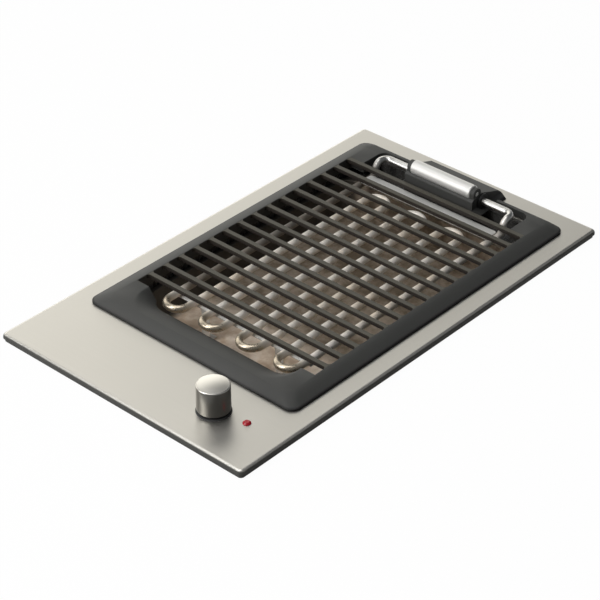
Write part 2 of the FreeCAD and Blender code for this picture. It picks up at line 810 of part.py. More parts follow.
def hexagon(y, radius, thickness):
    """Hexagonal slab round the gland's axis, from y by the thickness along +Y."""
    corners = []
    for i in range(7):
        turn = math.radians(60 * i)
        corners.append(V(gland_x + radius * math.cos(turn), y, gland_z + radius * math.sin(turn)))
    return Part.Face(Part.makePolygon(corners)).extrude(V(0, thickness, 0))


def make_mains():
    wall = casing_half_y
    out = V(0, 1, 0)
    flange = hexagon(wall, gland_head, gland_flange)
    dome = cone(gland_x, wall + gland_flange, gland_z, gland_head * 0.8, gland_bore * 1.5, gland_dome, out)
    thread = rod(gland_x, wall - gland_inside, gland_z, gland_thread, gland_inside, out)
    bore = rod(gland_x, wall - 2 * gland_inside, gland_z, gland_bore, 4 * gland_inside, out)
    pieces["cable_gland"] = fuse([flange, dome, thread]).cut(bore)
    nut = hexagon(wall - casing_sheet, gland_head, -gland_flange)
    hole = rod(gland_x, wall - 2 * gland_inside, gland_z, gland_thread + weld_gap, 3 * gland_inside, out)
    pieces["gland_nut"] = nut.cut(hole)
    x0 = gland_x + block_from_gland
    y1 = casing_half_y - casing_flange - 2
    floor = -casing_depth + casing_sheet
    high = floor + block_height
    way_z = high - block_height / 3
    body = box(x0, x0 + block_length, y1 - block_width, y1, floor, high)
    step = box(x0 - 1, x0 + block_length + 1, y1 - block_width - 1, y1 - block_width * 0.7,
               way_z, high + 1)
    places = [(x0 + block_length / 2 + (i - (block_ways - 1) / 2) * way_pitch, y1 - block_width * 0.4)
              for i in range(block_ways)]
    ways = [rod(x, y, way_z, way_radius, block_height) for x, y in places]
    pieces["terminal_block"] = body.cut(Part.makeCompound([step] + ways))
    screws = [rod(x, y, way_z, way_radius - weld_gap, block_height / 4) for x, y in places]
    pieces["block_screws"] = Part.makeCompound(screws)


def make_cutout():
    """Bimetal cut-out, held against the underside of the well."""
    z = -well_depth
    cap = rod(0, cutout_y, z - cutout_cap, cutout_radius, cutout_cap)
    base = rod(0, cutout_y, z - cutout_cap - cutout_base, cutout_radius - 1, cutout_base)
    pieces["thermal_cutout"] = fuse([cap, base])
    half = cutout_strap_width / 2
    strap = box(-cutout_strap_half, cutout_strap_half, cutout_y - half, cutout_y + half,
                z - casing_sheet, z)
    hole = rod(0, cutout_y, z - cutout_cap, cutout_radius + weld_gap, 2 * cutout_cap)
    pieces["cutout_strap"] = strap.cut(hole)


def make_clamps():
    clamps = []
    screws = []
    t = clamp_sheet
    for sx in (-1, 1):
        for sy in (-1, 1):
            x = sx * casing_half_x
            y = sy * clamp_y
            w = clamp_width / 2
            low = clamp_screw_z - clamp_half_height
            high = clamp_screw_z + clamp_half_height
            web = box(min(x, x + sx * t), max(x, x + sx * t), y - w, y + w, low, high)
            arm_end = x + sx * clamp_reach
            arm = box(min(x, arm_end), max(x, arm_end), y - w, y + w, high - t, high)
            tip = box(min(arm_end, arm_end - sx * t), max(arm_end, arm_end - sx * t), y - w, y + w,
                      high - t, high + clamp_tip)
            hole = rod(x + sx * clamp_reach, y, clamp_screw_z, screw_radius + seat_gap,
                       2 * clamp_reach, V(-sx, 0, 0))
            clamps.append(fuse([web, arm, tip]).cut(hole))
            shank = rod(x + sx * t, y, clamp_screw_z, screw_radius - weld_gap, screw_grip, V(-sx, 0, 0))
            head = rod(x + sx * t, y, clamp_screw_z, screw_head, screw_cap, V(sx, 0, 0))
            screws.append(fuse([shank, head]))
    pieces["fixing_clamps"] = Part.makeCompound(clamps)
    pieces["clamp_screws"] = Part.makeCompound(screws)


def make_earth_stud():
    x = casing_half_x - casing_sheet
    y = casing_half_y - earth_from_back
    inward = V(-1, 0, 0)
    stud = rod(x, y, earth_z, earth_radius, earth_length, inward)
    flange = rod(x, y, earth_z, 2 * earth_radius, clamp_sheet, inward)
    pieces["earth_stud"] = fuse([stud, flange])
    nut = rod(x - 2 * earth_radius, y, earth_z, earth_radius * 1.8, earth_length / 4, inward)
    bore = rod(x, y, earth_z, earth_radius + weld_gap, 2 * earth_length, inward)
    pieces["earth_nut"] = nut.cut(bore)


def write_parts():
    os.makedirs("parts", exist_ok=True)
    for name, shape in pieces.items():
        lifted = shape.copy()
        lifted.translate(V(0, 0, casing_depth))
        lifted.exportStep("parts/" + name + ".step")
        b = lifted.BoundBox
        print("%-18s solids %d valid %s vol %9.0f  x %.1f..%.1f y %.1f..%.1f z %.1f..%.1f" % (
            name, len(lifted.Solids), lifted.isValid(), lifted.Volume,
            b.XMin, b.XMax, b.YMin, b.YMax, b.ZMin, b.ZMax))


make_top_plate()
make_plate_seal()
make_casing()
make_bottom_cover()
make_well()
make_drip_pan()
make_cast_grate()
make_heating_element()
make_straps()
make_terminal_head()
make_pivot_bushes()
make_barrel()
make_knob()
make_regulator()
make_lamp()
make_mains()
make_cutout()
make_clamps()
make_earth_stud()
write_parts()
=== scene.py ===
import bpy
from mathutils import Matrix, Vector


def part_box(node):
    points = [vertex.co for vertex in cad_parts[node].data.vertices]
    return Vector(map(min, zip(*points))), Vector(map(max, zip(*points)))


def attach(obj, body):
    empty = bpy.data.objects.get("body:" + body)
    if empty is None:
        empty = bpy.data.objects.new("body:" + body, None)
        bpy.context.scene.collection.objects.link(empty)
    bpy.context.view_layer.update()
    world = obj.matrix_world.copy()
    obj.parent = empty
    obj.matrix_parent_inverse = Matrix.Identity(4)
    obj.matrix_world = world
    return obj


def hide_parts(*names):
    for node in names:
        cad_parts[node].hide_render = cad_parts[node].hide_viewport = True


bl_info = {
    "name": "Barbecue Grill Module",
    "version": (1, 0, 0),
    "blender": (4, 5, 0),
    "location": "View3D > Sidebar > Grill",
    "description": "Finishes a built-in electric barbecue grill around its construction frame",
    "category": "Object",
}

import math

import bmesh
import bpy
from bpy.props import FloatProperty, FloatVectorProperty, PointerProperty
from mathutils import Matrix, Vector

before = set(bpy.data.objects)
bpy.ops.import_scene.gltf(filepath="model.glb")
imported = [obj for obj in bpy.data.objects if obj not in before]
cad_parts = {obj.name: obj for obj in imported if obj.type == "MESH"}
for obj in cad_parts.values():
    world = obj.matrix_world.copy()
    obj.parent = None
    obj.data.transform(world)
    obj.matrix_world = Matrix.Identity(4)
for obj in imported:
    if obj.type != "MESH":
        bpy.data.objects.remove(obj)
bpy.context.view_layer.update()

MM = 0.001
PLATE_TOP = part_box("top_plate")[1][2]
MERGE_DISTANCE = 0.001 * MM
FLAT_ANGLE = math.radians(0.5)
SHARP_ANGLE = math.radians(32)
TURN_STEPS = 96


def corners(node):
    """The low and the high corner of a node's box."""
    return [Vector(corner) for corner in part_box(node)]


# Sockets with arithmetic

class Val:
    """A shader socket that adds Math nodes when it is used in an expression."""

    def __init__(self, tree, socket):
        self.tree = tree
        self.socket = socket

    def math(self, operation, *others):
        return self.tree.node("ShaderNodeMath", {"operation": operation}, [self, *others])

    def __add__(self, other):
        return self.math("ADD", other)

    def __radd__(self, other):
        return self.math("ADD", other)

    def __sub__(self, other):
        return self.math("SUBTRACT", other)

    def __rsub__(self, other):
        return self.tree.node("ShaderNodeMath", {"operation": "SUBTRACT"}, [other, self])

    def __mul__(self, other):
        return self.math("MULTIPLY", other)

    def __rmul__(self, other):
        return self.math("MULTIPLY", other)

    def step(self, first, last):
        """0 up to the first value, 1 from the last value on; the last may be the lower one."""
        return self.tree.node("ShaderNodeMapRange", {"interpolation_type": "SMOOTHSTEP"},
                              [self, first, last, 0.0, 1.0])


class Tree:
    """A material's or the world's node tree."""

    def __init__(self, owner):
        owner.use_nodes = True
        self.nodes = owner.node_tree.nodes
        self.links = owner.node_tree.links
        self.nodes.clear()

    def node(self, kind, settings=None, inputs=(), output=0):
        """A new node: its settings first, then the value or link of each input; gives one output."""
        made = self.nodes.new(kind)
        for key, value in (settings or {}).items():
            setattr(made, key, value)
        pairs = inputs.items() if isinstance(inputs, dict) else enumerate(inputs)
        for key, value in pairs:
            if isinstance(value, Val):
                self.links.new(value.socket, made.inputs[key])
            else:
                made.inputs[key].default_value = value
        return Val(self, made.outputs[output]) if len(made.outputs) else None

    def place(self, stretch=(1, 1, 1), shift=(0, 0, 0)):
        """Object coordinates, scaled and shifted."""
        raw = self.node("ShaderNodeTexCoord", output="Object")
        return self.node("ShaderNodeMapping", {}, {"Vector": raw, "Location": shift, "Scale": stretch})

    def height(self):
        """Height over the plate's top."""
        return self.split(self.place(shift=(0, 0, -PLATE_TOP)))[2]

    def round_axis(self, node):
        """Distance from the upright axis of a round node, and height over its top."""
        low, high = corners(node)
        middle = (low + high) / 2
        x, y, z = self.split(self.place(shift=(-middle.x, -middle.y, -high.z)))
        return (x * x + y * y).math("SQRT"), z

    def noise(self, where, scale, detail=3.0, rough=0.5):
        return self.node("ShaderNodeTexNoise", {},
                         {"Vector": where, "Scale": scale, "Detail": detail, "Roughness": rough})

    def split(self, where):
        made = self.nodes.new("ShaderNodeSeparateXYZ")
        self.links.new(where.socket, made.inputs[0])
        return [Val(self, made.outputs[i]) for i in range(3)]

    def blend(self, factor, first, second):
        """Colour between first and second."""
        return self.node("ShaderNodeMix", {"data_type": "RGBA"},
                         {0: factor, 6: first, 7: second}, output=2)

    def bump(self, height, distance, strength):
        return self.node("ShaderNodeBump", {}, {"Height": height, "Distance": distance,
                                                "Strength": strength})

    def surface(self, **sockets):
        """Closes a material with a Principled shader and its sockets."""
        names = {key.replace("_", " "): value for key, value in sockets.items()}
        shader = self.node("ShaderNodeBsdfPrincipled", {}, names)
        self.node("ShaderNodeOutputMaterial", {}, {"Surface": shader})


def new_material(name):
    material = bpy.data.materials.new(name)
    return material, Tree(material)


def rgb(colour, scale=1.0):
    return (colour[0] * scale, colour[1] * scale, colour[2] * scale, 1.0)


# Settings

class GrillColours(bpy.types.PropertyGroup):
    steel: FloatVectorProperty(name="Satin steel", description="Sheet of the top plate and the knob",
                               subtype="COLOR", size=3, default=(0.62, 0.60, 0.555))
    polished: FloatVectorProperty(name="Polished steel", description="Barrel, straps and cold ends",
                                  subtype="COLOR", size=3, default=(0.78, 0.77, 0.74))
    coating: FloatVectorProperty(name="Grate coating", description="Matte coating of the casting",
                                 subtype="COLOR", size=3, default=(0.048, 0.048, 0.045))
    sheath: FloatVectorProperty(name="Tube sheath", description="Heat-worn sheath of the element",
                                subtype="COLOR", size=3, default=(0.93, 0.87, 0.79))
    lamp: FloatVectorProperty(name="Pilot lamp", description="Red lens",
                              subtype="COLOR", size=3, default=(0.40, 0.008, 0.018))
    floor: FloatVectorProperty(name="Worktop", description="Pale top that the module is let into",
                               subtype="COLOR", size=3, default=(0.86, 0.86, 0.85))


class GrillSizes(bpy.types.PropertyGroup):
    cast_round: FloatProperty(name="Cast edge", description="Rounding of the casting's edges",
                              unit="LENGTH", default=0.0009)
    bar_round: FloatProperty(name="Bar edge", description="Rounding of the bars' edges",
                             unit="LENGTH", default=0.0008)
    sheet_round: FloatProperty(name="Sheet edge", description="Rounding of sheet edges",
                               unit="LENGTH", default=0.0003)
    brush_pitch: FloatProperty(name="Brush pitch", description="Distance between brush lines",
                               unit="LENGTH", default=0.0004)
    knob_foot: FloatProperty(name="Knob foot", description="Radius of the knob at its foot",
                             unit="LENGTH", default=0.0154)
    knob_shoulder: FloatProperty(name="Knob shoulder", description="Radius of the knob under its top",
                                 unit="LENGTH", default=0.0152)
    floor_reach: FloatProperty(name="Worktop reach", description="Half the worktop's side",
                               unit="LENGTH", default=4.0)


def colours():
    return bpy.context.scene.grill_colours


def sizes():
    return bpy.context.scene.grill_sizes


# Materials

def satin_steel():
    """Brushed sheet: fine lines across, faint clouds, and painted shade on the folded edge."""
    material, tree = new_material("satin_steel")
    along, across = 6, 1 / sizes().brush_pitch
    lines = tree.noise(tree.place((along, across, across)), 1.0, 2.0, 0.6)
    clouds = tree.noise(tree.place(), 9.0, 2.0)
    # The folded edge below the top is painted dark and non-metallic as painted shade.
    fold_begins, fold_ends = -0.20 * MM, -1.60 * MM
    fold_shade_mask = tree.height().step(fold_begins, fold_ends)
    steel, fold_shade = colours().steel, (0.070, 0.069, 0.064)
    tint = tree.blend(lines * 0.55 + clouds * 0.45, rgb(steel, 0.90), rgb(steel, 1.10))
    tree.surface(Base_Color=tree.blend(fold_shade_mask, tint, rgb(fold_shade)), Metallic=1.0 - fold_shade_mask,
                 Roughness=0.30 + lines * 0.12 + clouds * 0.05 + fold_shade_mask * 0.25, Specular_IOR_Level=0.12,
                 Normal=tree.bump(lines, 0.01 * MM, 0.5))
    return material


def turned_steel():
    """Knob steel: fine rings on the top; the top is painted lighter as a painted highlight and the
    side darker as painted shade.
    """
    material, tree = new_material("turned_steel")
    radius, drop = tree.round_axis("control_knob")
    rings_per_metre = 2600
    rings = tree.node("ShaderNodeCombineXYZ", {},
                      [radius * rings_per_metre, drop * rings_per_metre, 0.0])
    lines = tree.noise(rings, 1.0, 2.0, 0.6)
    side_ends, top_begins = -2.6 * MM, -1.5 * MM
    top = drop.step(side_ends, top_begins)
    steel = colours().steel
    # The side is painted dark as painted shade, and the top painted light as a painted highlight.
    side = tree.blend(lines, rgb(steel, 0.37), rgb(steel, 0.42))
    face = tree.blend(lines, rgb(steel, 1.04), rgb(steel, 1.15))
    tree.surface(Base_Color=tree.blend(top, side, face), Metallic=1.0, Roughness=0.26 + lines * 0.05,
                 Normal=tree.bump(lines * top, 0.01 * MM, 0.5))
    return material


def polished_steel(name, rough, tone, metallic):
    """Bright steel with faint smears and fine lines along x."""
    material, tree = new_material(name)
    along, across = 8, 900
    smears = tree.noise(tree.place(), 60.0)
    lines = tree.noise(tree.place((along, across, across)), 1.0, 2.0)
    steel = colours().polished
    tint = tree.blend(smears, rgb(steel, tone * 0.92), rgb(steel, tone * 1.05))
    tree.surface(Base_Color=tint, Metallic=metallic, Roughness=rough + smears * 0.10 + lines * 0.05,
                 Normal=tree.bump(lines, 0.01 * MM, 0.3))
    return material


def cast_coating(name="cast_coating", worn=0.0, burn_and_shade=0.0):
    """Matte dark coating on cast iron: fine grain, worn crests, flanks browned by fat and darkened as
    painted shade, and a painted shadow on the rim's outer foot.
    """
    material, tree = new_material(name)
    grain = tree.noise(tree.place(), 1500.0, 3.0, 0.6)
    broad = tree.noise(tree.place(), 14.0)
    height = tree.height()
    crest = height.step(6.6 * MM, 7.9 * MM)
    flank = height.step(7.85 * MM, 6.9 * MM)
    coat, foot_shade, fat_and_shade = colours().coating, (0.006, 0.006, 0.006), (0.017, 0.012, 0.009)
    warm = (coat[0] * (1 + burn_and_shade * 0.04), coat[1] * (1 - burn_and_shade * 0.04), coat[2] * (1 - burn_and_shade * 0.22))
    tint = tree.blend(grain * 0.5 + broad * 0.5, rgb(warm, 0.82), rgb(warm, 1.2))
    tint = tree.blend(crest * worn, tint, rgb(warm, 2.2))
    # The rim's outer foot is painted near black as a painted shadow line against the plate.
    tint = tree.blend(rim_foot_shadow(tree, height) * (1 - burn_and_shade), tint, rgb(foot_shade))
    # Flanks below the crest are darkened and browned: partly a fat stain, partly painted shade that
    # thins the bars.
    tint = tree.blend(flank * burn_and_shade, tint, rgb(fat_and_shade))
    tree.surface(Base_Color=tint, Metallic=0.0, Roughness=0.52 + grain * 0.14,
                 Specular_IOR_Level=0.35, Normal=tree.bump(grain, 0.05 * MM, 0.7))
    return material


def rim_foot_shadow(tree, height):
    """1 on the low outer foot of the grate's rim, where a painted shadow darkens it against the plate.
    """
    low, high = corners("cast_grate")
    middle = (low + high) / 2
    inset, blur = 8 * MM, 0.5 * MM
    x, y = tree.split(tree.place(shift=(-middle.x, -middle.y, 0)))[:2]
    side = x.math("ABSOLUTE") - (high.x - middle.x - inset)
    end = y.math("ABSOLUTE") - (high.y - middle.y - inset)
    return side.math("MAXIMUM", end).step(-blur, blur) * height.step(3.1 * MM, 1.9 * MM)


def tube_sheath():
    """Steel sheath: warm heat tints in bands, darker half turns, bright cold ends, one run darkened as
    painted shade.
    """
    material, tree = new_material("tube_sheath")
    bands = tree.noise(tree.place((1, 0.6, 1)), 26.0, 3.0, 0.55)
    specks = tree.noise(tree.place(), 420.0, 3.0, 0.6)
    low, high = corners("heating_tube")
    left, front, back = low.x, low.y, high.y
    x, y = tree.split(tree.place())[:2]
    cold_end, half_turn, first_run, fade = 11.7 * MM, 9.4 * MM, 7.3 * MM, 15 * MM
    cold = y.step(back - cold_end - fade, back - cold_end)
    bend = y.step(front + half_turn + fade, front + half_turn)
    behind_bend, shade_fade, run_gap = 21.4 * MM, 20 * MM, 4 * MM
    # The first run behind the half turn is painted dark as painted shade.
    shaded_run = (x.step(left + first_run + run_gap, left + first_run)
             * y.step(front + behind_bend, front + behind_bend + shade_fade))
    sheath, run_shade, bend_tint = colours().sheath, (0.10, 0.085, 0.07), (0.52, 0.45, 0.35)
    warm = (sheath[0], sheath[1] * 0.93, sheath[2] * 0.84)
    tint = tree.blend(bands.step(0.44, 0.68), rgb(sheath), rgb(warm))
    tint = tree.blend(specks.step(0.58, 0.75) * 0.4, tint, rgb(sheath, 0.6))
    tint = tree.blend(shaded_run * 0.85, tint, rgb(run_shade))
    # The half turns are darker and more metallic than the straight runs.
    tint = tree.blend(bend, tint, rgb(bend_tint))
    tint = tree.blend(cold, tint, rgb(colours().polished, 0.76))
    tree.surface(Base_Color=tint, Metallic=0.15 + cold * 0.85 + bend * 0.65,
                 Roughness=0.36 + specks * 0.16 - cold * 0.14 - bend * 0.16,
                 Normal=tree.bump(specks * (1 - cold), 0.02 * MM, 0.4))
    return material


def pan_steel():
    """Pan sheet with brown heat stains and dried fat, painted lighter at the front as painted light,
    and painted shade up its sides.
    """
    material, tree = new_material("pan_steel")
    stains = tree.noise(tree.place(), 17.0, 4.0, 0.6)
    spots = tree.noise(tree.place(), 95.0, 4.0, 0.65)
    stain = (stains * 0.6 + spots * 0.4).step(0.38, 0.62)
    low, high = corners("drip_pan")
    x, y = tree.split(tree.place())[:2]
    lit_end, fade, wall_foot, wall_rise = 91.8 * MM, 26 * MM, 24.4 * MM, 12 * MM
    # The front of the floor is painted lighter and matte as painted light, where light falls past the
    # bars.
    front = y.step(low.y + lit_end + fade, low.y + lit_end)
    # The side walls are painted near black as painted shade.
    wall = x.math("ABSOLUTE").step(high.x - wall_foot, high.x - wall_foot + wall_rise)
    used = tree.blend(stain, rgb((0.44, 0.36, 0.28)), rgb((0.17, 0.13, 0.085)))
    lit_front_tint = tree.blend(stain, rgb((1.0, 0.88, 0.75)), rgb((0.66, 0.51, 0.37)))
    tint = tree.blend(front, used, lit_front_tint)
    tree.surface(Base_Color=tree.blend(wall, tint, rgb((0.080, 0.072, 0.060))),
                 Metallic=0.3 - front * 0.3, Roughness=0.34 + stain * 0.22,
                 Normal=tree.bump(spots, 0.05 * MM, 0.5))
    return material


def enamel():
    """Black enamel with a little orange peel and pale flecks."""
    material, tree = new_material("black_enamel")
    peel = tree.noise(tree.place(), 240.0, 2.0)
    flecks = tree.noise(tree.place(), 900.0, 2.0).step(0.66, 0.72)
    tint = tree.blend(flecks * 0.6, rgb((0.055, 0.053, 0.050)), rgb((0.12, 0.12, 0.12)))
    tree.surface(Base_Color=tint, Roughness=0.22 + peel * 0.10, Coat_Weight=0.3,
                 Normal=tree.bump(peel, 0.03 * MM, 0.4))
    return material


def galvanised():
    """Zinc sheet: angular spangles in slightly different greys."""
    material, tree = new_material("galvanised")
    spangle = tree.node("ShaderNodeTexVoronoi", {"feature": "F1"},
                        {"Vector": tree.place(), "Scale": 110.0}, output="Color")
    shade = tree.split(spangle)[0]
    dust = tree.noise(tree.place(), 30.0)
    tint = tree.blend(shade * 0.7 + dust * 0.3, rgb((0.36, 0.38, 0.40)), rgb((0.58, 0.60, 0.61)))
    tree.surface(Base_Color=tint, Metallic=0.9, Roughness=0.34 + shade * 0.16)
    return material


def plain_finish(name, colour, rough, grain_scale, metallic=0.0):
    """Moulded, turned or foamed material with its own grain."""
    spread, depth = 0.15, 0.03 * MM
    material, tree = new_material(name)
    grain = tree.noise(tree.place(), grain_scale, 3.0, 0.6)
    clouds = tree.noise(tree.place(), grain_scale * 0.06, 2.0)
    tint = tree.blend(grain * 0.5 + clouds * 0.5, rgb(colour, 1 - spread), rgb(colour, 1 + spread))
    tree.surface(Base_Color=tint, Metallic=metallic, Roughness=rough + grain * 0.12 - 0.06,
                 Normal=tree.bump(grain, depth, 0.6))
    return material


def lamp_lens():
    """Clear red lens with a faint glow and fine inner prisms."""
    material, tree = new_material("lamp_lens")
    radius = tree.round_axis("pilot_lens")[0]
    waves_per_metre = 9000
    rings = (radius * waves_per_metre).math("SINE") * 0.5 + 0.5
    red = colours().lamp
    tint = tree.blend(rings, rgb(red, 0.8), rgb(red, 1.1))
    tree.surface(Base_Color=tint, Roughness=0.34 + rings * 0.05,
                 Emission_Color=tint, Emission_Strength=0.03,
                 Normal=tree.bump(rings, 0.05 * MM, 0.4))
    return material


# Pieces that stand for construction nodes

def new_piece(name, shape, material, body, node):
    """Makes a bmesh the piece that stands for a node, smooth except at its sharp edges."""
    mesh = bpy.data.meshes.new(name)
    shape.to_mesh(mesh)
    shape.free()
    mesh.shade_smooth()
    mesh.set_sharp_from_angle(angle=SHARP_ANGLE)
    mesh.materials.clear()
    mesh.materials.append(material)
    piece = bpy.data.objects.new(name, mesh)
    bpy.context.scene.collection.objects.link(piece)
    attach(piece, body)
    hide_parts(node)
    return piece


def finished_copy(node, name, material, body, width=0.0, segments=2):
    """A copy of a node's shape with its sharp edges rounded, which stands for the node."""
    shape = bmesh.new()
    shape.from_mesh(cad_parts[node].data)
    bmesh.ops.remove_doubles(shape, verts=shape.verts, dist=MERGE_DISTANCE)
    bmesh.ops.dissolve_limit(shape, angle_limit=FLAT_ANGLE, verts=shape.verts,
                             edges=shape.edges, use_dissolve_boundaries=False)
    if width:
        sharp = [e for e in shape.edges if e.is_manifold and e.calc_face_angle(0.0) > SHARP_ANGLE]
        bmesh.ops.bevel(shape, geom=sharp, offset=width, offset_type="OFFSET", affect="EDGES",
                        segments=segments, profile=0.5, material=-1, clamp_overlap=True)
    bmesh.ops.triangulate(shape, faces=[f for f in shape.faces if len(f.verts) > 4])
    piece = new_piece(name, shape, material, body, node)
    shading = piece.modifiers.new("flat_faces_stay_flat", "WEIGHTED_NORMAL")
    shading.mode = "FACE_AREA"
    shading.keep_sharp = True


def turned_piece(node, name, material, body, outline):
    """A piece turned round the knob's axis from radius and height pairs, which stands for a node."""
    low, high = corners("control_knob")
    axis = Vector(((low.x + high.x) / 2, (low.y + high.y) / 2, 0))
    shape = bmesh.new()
    verts = [shape.verts.new(axis + Vector((radius, 0, height))) for radius, height in outline]
    edges = [shape.edges.new(pair) for pair in zip(verts, verts[1:])]
    bmesh.ops.spin(shape, geom=verts + edges, cent=axis, axis=(0, 0, 1), angle=math.tau,
                   steps=TURN_STEPS, use_merge=True)
    bmesh.ops.remove_doubles(shape, verts=shape.verts, dist=MERGE_DISTANCE)
    bmesh.ops.recalc_face_normals(shape, faces=shape.faces)
    new_piece(name, shape, material, body, node)


def knob_outline():
    """The knob's thin shell: up the inside, out at the foot, over the soft edge to the crown."""
    low, high = corners("control_knob")
    foot, shoulder = sizes().knob_foot, sizes().knob_shoulder
    wall, crown, soft, gap = 0.7 * MM, 1.2 * MM, 1.0 * MM, 1.2 * MM
    bottom, top = low.z + gap, high.z
    flat = shoulder - soft
    inside = [(0, top - crown - wall), (flat, top - crown - wall),
              (shoulder - wall, top - crown - soft), (foot - wall, bottom)]
    edge = [(flat + soft * math.sin(turn), top - crown - soft + soft * math.cos(turn))
            for turn in (math.radians(15 * step) for step in range(6, -1, -1))]
    dome = [(share * flat, top - crown * share ** 2) for share in (0.75, 0.5, 0.25, 0)]
    return inside + [(foot, bottom)] + edge + dome


def ring_outline():
    """The flat ring under the knob, chamfered at its upper edge."""
    low, high = corners("knob_ring")
    bore, rim, chamfer = 8 * MM, sizes().knob_foot + 0.7 * MM, 0.3 * MM
    return [(bore, low.z), (rim, low.z), (rim, high.z - chamfer), (rim - chamfer, high.z),
            (bore, high.z), (bore, low.z)]


def dress(material, *nodes):
    """Gives construction nodes their finish."""
    for node in nodes:
        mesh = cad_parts[node].data
        mesh.materials.clear()
        mesh.materials.append(material)


# Stage and light

class GRILL_OT_stage(bpy.types.Operator):
    """Worktop with its cut-out, soft studio light and the camera"""
    bl_idname = "grill.stage"
    bl_label = "Worktop, light and camera"

    def execute(self, context):
        build_worktop()
        build_world()
        build_lights()
        build_camera(context)
        return {"FINISHED"}


def build_worktop():
    """Pale slab whose top carries the plate's seal, open where the casing hangs."""
    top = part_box("plate_seal")[0][2]
    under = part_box("fixing_clamps")[1][2]
    casing, play = corners("casing")[1], 1.5 * MM
    reach = sizes().floor_reach
    shape = bmesh.new()
    bmesh.ops.create_grid(shape, x_segments=3, y_segments=3, size=reach)
    for vert in shape.verts:
        for axis in (0, 1):
            side = reach if abs(vert.co[axis]) > reach / 2 else casing[axis] + play
            vert.co[axis] = math.copysign(side, vert.co[axis])
        vert.co.z = top
    centre = min(shape.faces, key=lambda face: face.calc_center_median().to_2d().length)
    bmesh.ops.delete(shape, geom=[centre], context="FACES_ONLY")
    lower = bmesh.ops.extrude_face_region(shape, geom=shape.faces[:])
    verts = [v for v in lower["geom"] if isinstance(v, bmesh.types.BMVert)]
    bmesh.ops.translate(shape, verts=verts, vec=(0, 0, under - top))
    bmesh.ops.recalc_face_normals(shape, faces=shape.faces)
    mesh = bpy.data.meshes.new("worktop")
    shape.to_mesh(mesh)
    shape.free()
    slab = bpy.data.objects.new("worktop", mesh)
    bpy.context.scene.collection.objects.link(slab)
    mesh.materials.append(worktop_finish())


def worktop_finish():
    """White to the camera; to reflections it glows as a painted reflection that darkens towards the
    front right.
    """
    material, tree = new_material("worktop")
    clouds = tree.noise(tree.place(), 3.0, 2.0)
    x, y = tree.split(tree.place())[:2]
    floor = colours().floor
    tint = tree.blend(clouds, rgb(floor, 0.99), rgb(floor, 1.01))
    lit = tree.node("ShaderNodeBsdfDiffuse", {}, {"Color": tint})
    white = tree.node("ShaderNodeEmission", {}, {"Color": rgb((1, 1, 1)), "Strength": 1.0})
    # For glossy rays the slab glows as a painted reflection.
    front_right = (x * 0.66 - y * 0.75).step(-0.5, 0.6)
    shade = tree.blend(front_right, rgb((0.85, 0.85, 0.84)), rgb((0.11, 0.113, 0.117)))
    mirrored = tree.node("ShaderNodeEmission", {}, {"Color": shade, "Strength": 1.45})
    glossy = tree.node("ShaderNodeLightPath", output="Is Glossy Ray")
    camera = tree.node("ShaderNodeLightPath", output="Is Camera Ray")
    reflected = tree.node("ShaderNodeMixShader", {}, [glossy, lit, mirrored])
    mixed = tree.node("ShaderNodeMixShader", {}, [camera * 0.97, reflected, white])
    tree.node("ShaderNodeOutputMaterial", {}, {"Surface": mixed})
    return material


def build_world():
    """Light from the left and back, dark elsewhere, white to the camera."""
    world = bpy.data.worlds.new("studio")
    bpy.context.scene.world = world
    tree = Tree(world)
    x, y = tree.split(tree.node("ShaderNodeTexCoord", output="Generated"))[:2]
    left_back = (x * -1.05 + y * 0.42).step(0.67, 0.985)
    sky = tree.blend(left_back, rgb((0.07, 0.073, 0.076)), rgb((1.0, 0.985, 0.93)))
    ambient = tree.node("ShaderNodeBackground", {}, {"Color": sky, "Strength": 1.8})
    white = tree.node("ShaderNodeBackground", {}, {"Color": rgb((1, 1, 1)), "Strength": 1.0})
    seen = tree.node("ShaderNodeLightPath", output="Is Camera Ray")
    mixed = tree.node("ShaderNodeMixShader", {}, [seen, ambient, white])
    tree.node("ShaderNodeOutputWorld", {}, {"Surface": mixed})


def build_lights():
    add_light("key_light", (-0.5, -0.1, 2.2), 1.2, 13.0)
    add_light("fill_light", (-0.6, -1.6, 1.9), 1.0, 26.0)
    add_light("low_light", (-0.90, -1.55, 0.5), 1.2, 14.0)


def add_light(name, place, side, power):
    """Square soft light that looks at the middle of the plate."""
    lamp = bpy.data.lights.new(name, "AREA")
    lamp.shape = "SQUARE"
    lamp.size = side
    lamp.energy = power
    light = bpy.data.objects.new(name, lamp)
    light.location = place
    look = Vector((0, 0, PLATE_TOP)) - Vector(place)
    light.rotation_euler = look.to_track_quat("-Z", "Y").to_euler()
    bpy.context.scene.collection.objects.link(light)


def build_camera(context):
    """Camera of the photograph: fitted to the plate's four corners."""
    azimuth = math.radians(41.704)
    elevation = math.radians(34.390)
    roll = math.radians(0.288)
    distance = 1.93798
    target = Vector((0.01609, -0.03238, PLATE_TOP))
    focal_pixels, photo_width = 2081.0, 600
    back = Vector((math.sin(azimuth) * math.cos(elevation),
                   -math.cos(azimuth) * math.cos(elevation), math.sin(elevation)))
    right = (-back).cross(Vector((0, 0, 1))).normalized()
    up = right.cross(-back)
    rolled_right = right * math.cos(roll) + up * math.sin(roll)
    rolled_up = up * math.cos(roll) - right * math.sin(roll)
    lens = bpy.data.cameras.new("photo_camera")
    lens.sensor_fit = "HORIZONTAL"
    lens.sensor_width = 36.0
    lens.lens = focal_pixels / photo_width * lens.sensor_width
    lens.clip_end = 50.0
    camera = bpy.data.objects.new("photo_camera", lens)
    turn = Matrix((rolled_right, rolled_up, back)).transposed()
    camera.matrix_world = Matrix.Translation(target + back * distance) @ turn.to_4x4()
    context.scene.collection.objects.link(camera)
    context.scene.camera = camera


# The grill's groups

